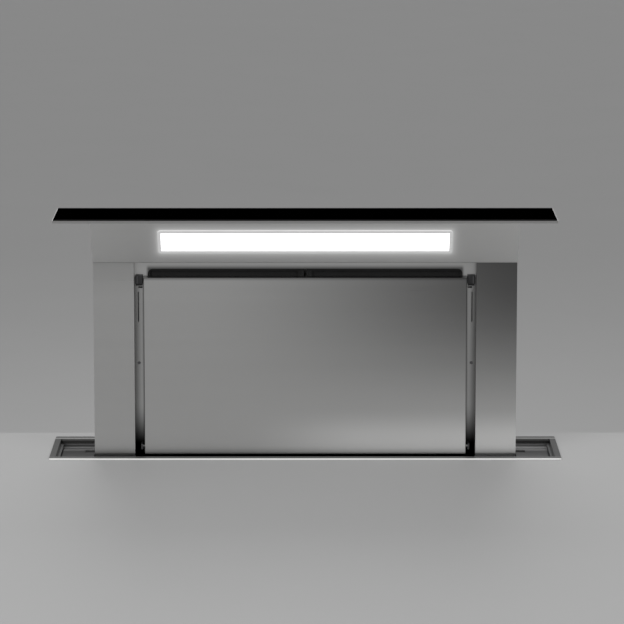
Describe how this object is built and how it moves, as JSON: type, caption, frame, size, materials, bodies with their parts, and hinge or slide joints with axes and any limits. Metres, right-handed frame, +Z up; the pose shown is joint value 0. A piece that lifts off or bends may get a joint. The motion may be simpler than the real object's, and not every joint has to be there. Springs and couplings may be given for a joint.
{
  "type": "downdraft vent",
  "caption": "Pop-up downdraft extractor for a worktop slot: steel tower with lit leaning head, black glass lid, air gaps round a front panel, frame, screw lift and blower.",
  "frame": {"origin": "centre of the worktop frame, on the worktop's top surface", "axes": "+X to the right as seen by the cook, +Y to the back, +Z up; the tower is raised"},
  "size_m": [0.883, 0.3147, 1.143],
  "materials": {
    "brushed_steel": "satin brushed stainless steel",
    "frame_steel": "polished-edge brushed stainless steel",
    "tray_steel": "brushed stainless steel in the recess's shade",
    "black_glass": "opaque black glass, back-painted",
    "lamp_diffuser": "opal diffuser, lit",
    "lamp_bezel": "satin",
    "circuit_board": "green solder mask",
    "filter_metal": "satin expanded metal",
    "black_polymer": "matt black polymer",
    "white_polymer": "natural acetal",
    "black_rubber": "matt rubber",
    "bolt_steel": "bright zinc plated steel",
    "zinc_steel": "galvanised sheet steel",
    "nut_brass": "machined bronze",
    "rail_aluminium": "anodised extrusion",
    "pulley_aluminium": "machined",
    "bearing_iron": "painted casting",
    "motor_paint": "black enamel",
    "fan_steel": "galvanised drum",
    "duct_plastic": "moulded plastic",
    "box_plastic": "moulded plastic"
  },
  "bodies": {
    "housing": {"belts": "black_rubber", "blower_box": "zinc_steel", "blower_cover": "zinc_steel", "cable_gland": "black_polymer", "case_screws": "bolt_steel", "clamp_screws": "bolt_steel", "clamps": "zinc_steel", "control_board": "circuit_board", "control_box": "box_plastic", "control_cover": "box_plastic", "drive_pan": "zinc_steel", "fan_bracket": "zinc_steel", "fan_motor": "motor_paint", "flap_pin": "bolt_steel", "foot_brackets": "zinc_steel", "frame_rivets": "bolt_steel", "guide_pads": "black_polymer", "guide_rails": "rail_aluminium", "housing_back": "zinc_steel", "housing_base": "zinc_steel", "housing_front": "zinc_steel", "housing_left": "zinc_steel", "housing_right": "zinc_steel", "inlet_ring": "zinc_steel", "lift_motor": "motor_paint", "limit_switch": "black_polymer", "outlet_collar": "duct_plastic", "recess_tray": "tray_steel", "screw_bearings": "bearing_iron", "scroll_wall": "zinc_steel", "worktop_frame": "frame_steel"},
    "tower": {"lid_plate": "brushed_steel", "lid_glass": "black_glass", "lid_buffers": "black_rubber", "head_shell": "brushed_steel", "light_bezel": "lamp_bezel", "light_diffuser": "lamp_diffuser", "light_board": "circuit_board", "touch_board": "circuit_board", "tower_back": "brushed_steel", "pillar_left": "brushed_steel", "pillar_right": "brushed_steel", "filter_frame": "brushed_steel", "filter_left": "filter_metal", "filter_right": "filter_metal", "panel_pivots": "black_polymer", "panel_clips": "black_polymer", "tower_screws": "bolt_steel", "carrier_plate": "zinc_steel", "lead_nuts": "nut_brass", "guide_shoes": "white_polymer"},
    "panel": {"front_panel": "brushed_steel"},
    "screw_left": {"lead_screw_left": "bolt_steel", "pulley_left": "white_polymer"},
    "screw_right": {"lead_screw_right": "bolt_steel", "pulley_right": "white_polymer"},
    "motor_rotor": {"motor_pulley": "pulley_aluminium"},
    "fan_rotor": {"impeller": "fan_steel"},
    "damper_back": {"flap_back": "duct_plastic"},
    "damper_front": {"flap_front": "duct_plastic"}
  },
  "joints": [
    {"name": "lift", "type": "slide", "parent": "housing", "child": "tower", "axis": [0, 0, 1], "range_m": [-0.415, 0]},
    {"name": "panel_tilt", "type": "hinge", "parent": "tower", "child": "panel", "pos_m": [0, -0.02393, 0.0115], "axis": [1, 0, 0], "range_deg": [0, 20]},
    {"name": "screw_left_spin", "type": "hinge", "parent": "housing", "child": "screw_left", "pos_m": [-0.33, 0.022, -0.6], "axis": [0, 0, 1], "continuous": true},
    {"name": "screw_right_spin", "type": "hinge", "parent": "housing", "child": "screw_right", "pos_m": [0.33, 0.022, -0.6], "axis": [0, 0, 1], "continuous": true},
    {"name": "motor_spin", "type": "hinge", "parent": "housing", "child": "motor_rotor", "pos_m": [0.24, 0.022, -0.7], "axis": [0, 0, 1], "continuous": true},
    {"name": "fan_spin", "type": "hinge", "parent": "housing", "child": "fan_rotor", "pos_m": [-0.03, -0.12, -0.51], "axis": [0, 1, 0], "continuous": true},
    {"name": "damper_back_swing", "type": "hinge", "parent": "housing", "child": "damper_back", "pos_m": [-0.258, -0.1425, -0.416], "axis": [0, 0, 1], "range_deg": [0, 75]},
    {"name": "damper_front_swing", "type": "hinge", "parent": "housing", "child": "damper_front", "pos_m": [-0.258, -0.1425, -0.416], "axis": [0, 0, -1], "range_deg": [0, 75]}
  ],
  "couplings": [
    {"joint": "screw_left_spin", "follows": "lift", "rad_per_m": -392.7},
    {"joint": "screw_right_spin", "follows": "lift", "rad_per_m": -392.7},
    {"joint": "motor_spin", "follows": "lift", "rad_per_m": -654.5}
  ]
}
